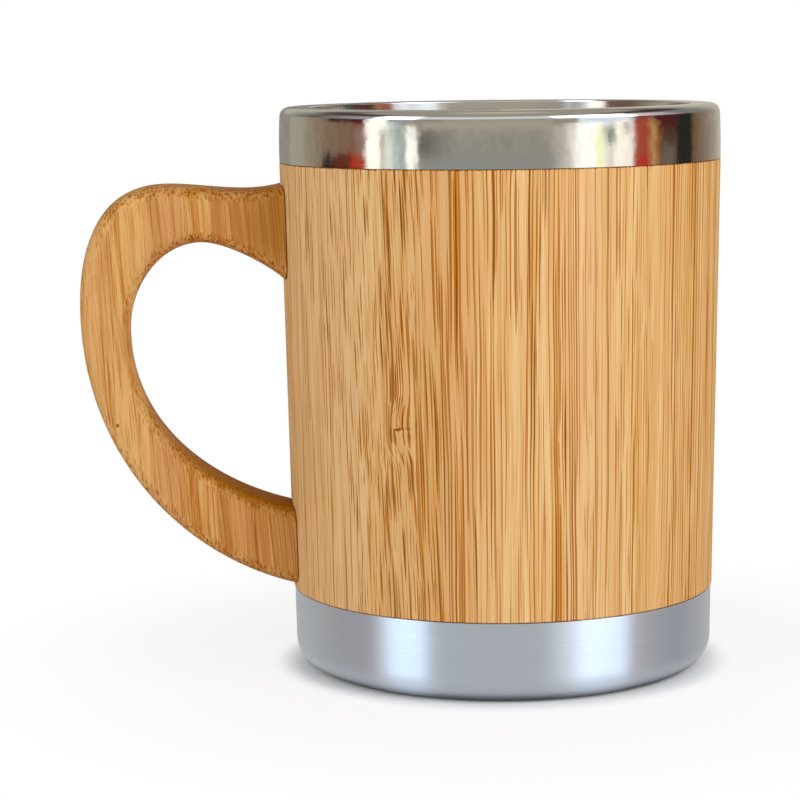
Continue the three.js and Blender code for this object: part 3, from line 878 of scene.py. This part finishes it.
def floor_material():
    """Matt white paper: it keeps the mug's shadow near its foot and runs out to the white of the room."""
    material, tree, shader = new_material("white_paper")
    rays = add(tree, "LightPath").outputs
    mirrored = add(tree, "Math", {0: rays["Is Glossy Ray"], 1: rays["Is Transmission Ray"]}, operation="MAXIMUM")
    place = add(tree, "TexCoord").outputs["Object"]
    away = add(tree, "VectorMath", {0: place}, operation="LENGTH").outputs["Value"]
    share = 0.0
    for start, end, gain in RUN_OUT:
        whiter = add(tree, "MapRange", {0: away, 1: start * MM, 2: end * MM, 3: 0.0, 4: gain}, **SMOOTH)
        share = add(tree, "Math", {0: whiter, 1: share}, operation="ADD")
    share = add(tree, "Math", {0: rays["Is Camera Ray"], 1: share}, operation="MULTIPLY")
    share = add(tree, "Math", {0: share, 1: mirrored}, operation="MAXIMUM")
    paper = add(
        tree, "Mix", {0: rays["Is Diffuse Ray"], 6: linear(PAPER_COLOUR), 7: linear(PAPER_BOUNCE)}, data_type="RGBA"
    )
    connect(
        tree, shader,
        {"Base Color": paper.outputs[2], "Roughness": PAPER_ROUGHNESS, "Specular IOR Level": PAPER_GLOSS},
    )
    start, end, under, beyond = FOOT_SHADE
    contact = add(tree, "MapRange", {0: away, 1: start * MM, 2: end * MM, 3: under, 4: beyond}, **SMOOTH)
    level = add(tree, "MapRange", {0: rays["Is Camera Ray"], 3: contact, 4: 1.0})
    white = add(tree, "Emission", {"Color": WHITE, "Strength": level})
    mixed = add(tree, "MixShader", {0: share, 1: shader, 2: white})
    connect(tree, tree.nodes["Material Output"], {"Surface": mixed})
    return material


def stage_piece(name, bm, material, only_gloss=False):
    """Adds part of the studio, seen by the camera or only by the steel."""
    mesh = as_mesh(name, bm)
    mesh.materials.append(material)
    piece = in_scene(name, mesh)
    if only_gloss:
        piece.visible_camera = piece.visible_diffuse = piece.visible_shadow = piece.visible_transmission = False


def lamp(name, bearing, distance, height, width, tall, level):
    """A soft rectangular lamp turned to the mug. It lights the bamboo and the paper, and the steel mirrors the room."""
    data = bpy.data.lights.new(name, "AREA")
    data.shape = "RECTANGLE"
    data.size = width * MM
    data.size_y = tall * MM
    data.energy = level * math.pi * data.size * data.size_y
    light = in_scene(name, data)
    light.location = studio_place(bearing, distance, height)
    aim = Vector((0, 0, AIM_HEIGHT * MM)) - light.location
    light.rotation_euler = aim.to_track_quat("-Z", "Y").to_euler()
    light.visible_camera = light.visible_glossy = False


ground = bmesh.new()
bmesh.ops.create_circle(ground, cap_ends=True, segments=CIRCLE_STEPS, radius=PAPER_RADIUS * MM)
bmesh.ops.translate(ground, verts=ground.verts[:], vec=(0, 0, -PAPER_DROP * MM))
stage_piece("paper_floor", ground, floor_material())
for name, setting in LAMPS.items():
    lamp(name, *setting)


# -------------------- room in the steel

ROOM_RADIUS = 1000
ROOM_FOOT = -10
ROOM_HEIGHT = 2500
# The room round the mug: bearing in degrees to the right of the camera, colour, and strength where it isn't 1.
# Low down it shows in the polished band: a wall ahead, a window with a bar on each side and darker drapes beyond.
ROOM_LOW = (
    (-180, "#8c8e8e"), (-120, "#b6ac98"), (-98, "#9a8670"), (-78, "#98745f"),
    (-72, "#b09088"), (-69.5, "#fffaf2", 1.8), (-60.5, "#fffaf2", 1.8), (-59, "#eef8f4", 1.5),
    (-51.5, "#cfdeda", 0.95), (-47.5, "#c6d6d0", 0.9), (-46.8, "#fbfbf4", 1.8), (-41.6, "#fbfbf4", 1.7),
    (-40.4, "#76726c"), (-20, "#b2b0a8"), (21, "#aeaba2"), (32, "#dcd6cc"),
    (41.5, "#ffffff", 1.7), (52, "#ffffff", 1.7), (55, "#f0f0e4", 1.5), (58, "#ece4de", 1.4),
    (61, "#fffaf0", 1.6), (69.5, "#fff8ee", 1.5), (72.5, "#c0584a"), (80, "#c2583e"),
    (83, "#e0ae7c"), (88, "#a0642c"), (90.5, "#664840"), (100, "#5e443c"),
    (102.5, "#30342e"), (114, "#322e28"), (117, "#80684f"), (158, "#c8c0b2"),
)
# Higher up it shows in the brushed foot: pale walls and a cool sky in each window
ROOM_HIGH = (
    (-180, "#ccc8ba"), (-152, "#c4c0b4"), (-136, "#a6a49e"), (-114, "#6c6c6c"),
    (-68, "#c4c4c8"), (-66, "#d6e9ff", 8.2), (-44, "#d6e9ff", 8.2), (-42, "#dadce0", 1.4),
    (27, "#d8dade", 1.4), (29, "#ffffff", 3.0), (40, "#ffffff", 3.0), (42, "#e6f1ff", 7.4),
    (72, "#dcecff", 7.6), (74, "#cfc8cc", 1.8), (112, "#8c8a8e"), (138, "#9c9a94"),
    (154, "#c4c0b4"), (180, "#ccc8ba"),
)
# Above the windows: plaster, with the drapes' shade on each side
ROOM_TOP = (
    (-180, "#b0aca4"), (-152, "#a8a49a"), (-138, "#645c56"), (-104, "#544a46"),
    (-78, "#5a4446"), (-66, "#b4b2aa"), (62, "#b4b2aa"), (72, "#785c60"),
    (104, "#4c383a"), (138, "#5a4c4c"), (152, "#a8a49a"), (180, "#b0aca4"),
)
# The ceiling, the skylight in its middle, and the radii where that begins to fade and ends
CEILING = "#b4b0a6"
SKYLIGHT = "#e0d8c4"
SKYLIGHT_SIZES = (350, 800)
# Heights between which each of these zones gives way to the next
ROOM_STEPS = ((200, 350), (650, 950), (1100, 1600))
# Things in the lower room: bearings and heights from and to, colour and strength. Later ones stand in front.
ROOM_THINGS = (
    # The wall ahead: its foot and its rail
    (-41, 27, -40, 54, "#a9aba8"), (-41, 27, 142, 210, "#c6c0b0"),
    # Far to the left: a door, then a chest with two cushions
    (-137, -119, -40, 200, "#bab6a8"),
    (-102, -84, -40, 52, "#3a2a22"), (-92, -76, -40, 50, "#74281a"), (-81, -71, -40, 50, "#d03c18"),
    # Drapes over them, with a tassel
    (-97, -71, 160, 350, "#4c2c32"), (-79, -72, 146, 172, "#8e2c38"),
    # The left window: a bar, a post and a blind
    (-57, -41, 126, 132, "#a4b2ae"), (-62, -59, -40, 134, "#dccbb8"), (-58, -41, 180, 350, "#a6a6a2"),
    # The right window: a bright pane, two flower pots and its sky
    (49.5, 53, -40, 142, "#f4fabc", 1.6), (54, 59.5, 84, 144, "#9cb0a4"), (65, 69, 116, 146, "#b4baac", 1.1),
    (42, 72, 172, 350, "#d4e6ff", 1.4),
    # The wall's corners beside both windows
    (26, 41, 166, 350, "#b0a89c"), (-49, -40, 160, 350, "#a8a49c"),
    # To the right: a cushion, drapes with a tie, and a chair
    (71, 80, -40, 36, "#dc2414"), (71, 84, 172, 350, "#8c4a4e"), (84, 103, 140, 350, "#5c2830"),
    (89, 101, 112, 150, "#5c2a2c"), (89, 100, -40, 70, "#7c7064"),
)
# Edges of things are soft by so many degrees or millimetres. Folds make them ragged, let them sag and vary the paint.
SOFT_BEARING = 1.4
SOFT_HEIGHT = 12
FOLD_SIZES = (45, 45, 16)
TORN_EDGE = 0.014
SAG = 35
PATCHES = (0.86, 1.14)


def way_round(bearing):
    """A bearing as a share of the way round the room, which begins and ends behind the mug."""
    return bearing / 360 + 0.5


def shining(hex_colour, strength=1.0):
    """A colour at a strength where 1 is the colour itself."""
    return [channel * strength for channel in linear(hex_colour)]


def room_paint():
    """A pale room as steel mirrors it: by height its furnished lower part, its windows, the plaster and the ceiling."""
    material, tree, _ = new_material("room_paint")
    place, _, radius = about_axis(tree)
    height = add(tree, "SeparateXYZ", {0: place}).outputs[2]
    ahead, rightwards = studio_place(0, 1, 0) / MM, studio_place(90, 1, 0) / MM
    forward = add(tree, "VectorMath", {0: place, 1: ahead}, operation="DOT_PRODUCT").outputs["Value"]
    aside = add(tree, "VectorMath", {0: place, 1: rightwards}, operation="DOT_PRODUCT").outputs["Value"]
    turn = add(tree, "Math", {0: aside, 1: forward}, operation="ARCTAN2")

    folds_at = add(tree, "Mapping", {"Vector": place, "Scale": [1 / (size * MM) for size in FOLD_SIZES]})
    folds = add(tree, "TexNoise", {"Vector": folds_at, "Scale": 1.0, "Detail": 2.0})
    torn, patch, sag = add(tree, "SeparateColor", {0: folds.outputs["Color"]}).outputs
    middle = way_round(0)
    torn = add(tree, "MapRange", {0: torn, 3: middle - TORN_EDGE, 4: middle + TORN_EDGE})
    patch = add(tree, "MapRange", {0: patch, 1: NOISE_LOW, 2: NOISE_HIGH, 3: PATCHES[0], 4: PATCHES[1]})
    share = add(tree, "Math", {0: turn, 1: 1 / math.tau, 2: torn}, operation="MULTIPLY_ADD")
    sag = add(tree, "MapRange", {0: sag, 3: -SAG * MM, 4: SAG * MM})
    hung = add(tree, "Math", {0: height, 1: sag}, operation="ADD")

    zones = []
    for stops in (ROOM_LOW, ROOM_HIGH, ROOM_TOP):
        ramp = add(tree, "ValToRGB", {0: share})
        for i, (bearing, *paint) in enumerate(stops):
            spot = way_round(bearing)
            stop = ramp.color_ramp.elements[i] if i < 2 else ramp.color_ramp.elements.new(spot)
            stop.position = spot
            stop.color = shining(*paint)
        zones.append(ramp.outputs[0])
    fade, gone = (size * MM for size in SKYLIGHT_SIZES)
    skylight = add(tree, "MapRange", {0: radius, 1: fade, 2: gone, 3: 1.0, 4: 0.0}, **SMOOTH)
    ceiling = add(tree, "Mix", {0: skylight, 6: linear(CEILING), 7: linear(SKYLIGHT)}, data_type="RGBA")
    zones.append(ceiling.outputs[2])

    colour = add(tree, "VectorMath", {0: zones[0], "Scale": patch}, operation="SCALE").outputs[0]
    for left, right, low, high, *paint in ROOM_THINGS:
        inside = 1.0
        for at, start, end, soft in (
            (share, way_round(left), way_round(right), SOFT_BEARING / 360),
            (hung, low * MM, high * MM, SOFT_HEIGHT * MM),
        ):
            enter = add(tree, "MapRange", {0: at, 1: start - soft, 2: start + soft})
            leave = add(tree, "MapRange", {0: at, 1: end - soft, 2: end + soft, 3: 1.0, 4: 0.0})
            inside = add(tree, "Math", {0: enter, 1: inside}, operation="MULTIPLY")
            inside = add(tree, "Math", {0: leave, 1: inside}, operation="MULTIPLY")
        colour = add(tree, "Mix", {0: inside, 6: colour, 7: shining(*paint)}, data_type="RGBA").outputs[2]
    for (low, high), zone in zip(ROOM_STEPS, zones[1:]):
        up = add(tree, "MapRange", {0: height, 1: low * MM, 2: high * MM}, **SMOOTH)
        colour = add(tree, "Mix", {0: up, 6: colour, 7: zone}, data_type="RGBA").outputs[2]
    shine = add(tree, "Emission", {"Color": colour, "Strength": 1.0})
    connect(tree, tree.nodes["Material Output"], {"Surface": shine})
    material.cycles.emission_sampling = "NONE"
    return material


room = bmesh.new()
foot = room.verts.new(studio_place(180, ROOM_RADIUS, ROOM_FOOT))
head = room.verts.new(studio_place(180, ROOM_RADIUS, ROOM_HEIGHT))
middle = room.verts.new((0, 0, ROOM_HEIGHT * MM))
section = [foot, head, middle, room.edges.new((foot, head)), room.edges.new((head, middle))]
bmesh.ops.spin(
    room, geom=section, cent=(0, 0, 0), axis=(0, 0, 1), angle=math.tau, steps=CIRCLE_STEPS, use_merge=True,
)
bmesh.ops.remove_doubles(room, verts=room.verts[:], dist=WELD * MM)
bmesh.ops.recalc_face_normals(room, faces=room.faces[:])
stage_piece("room_walls", room, room_paint(), only_gloss=True)
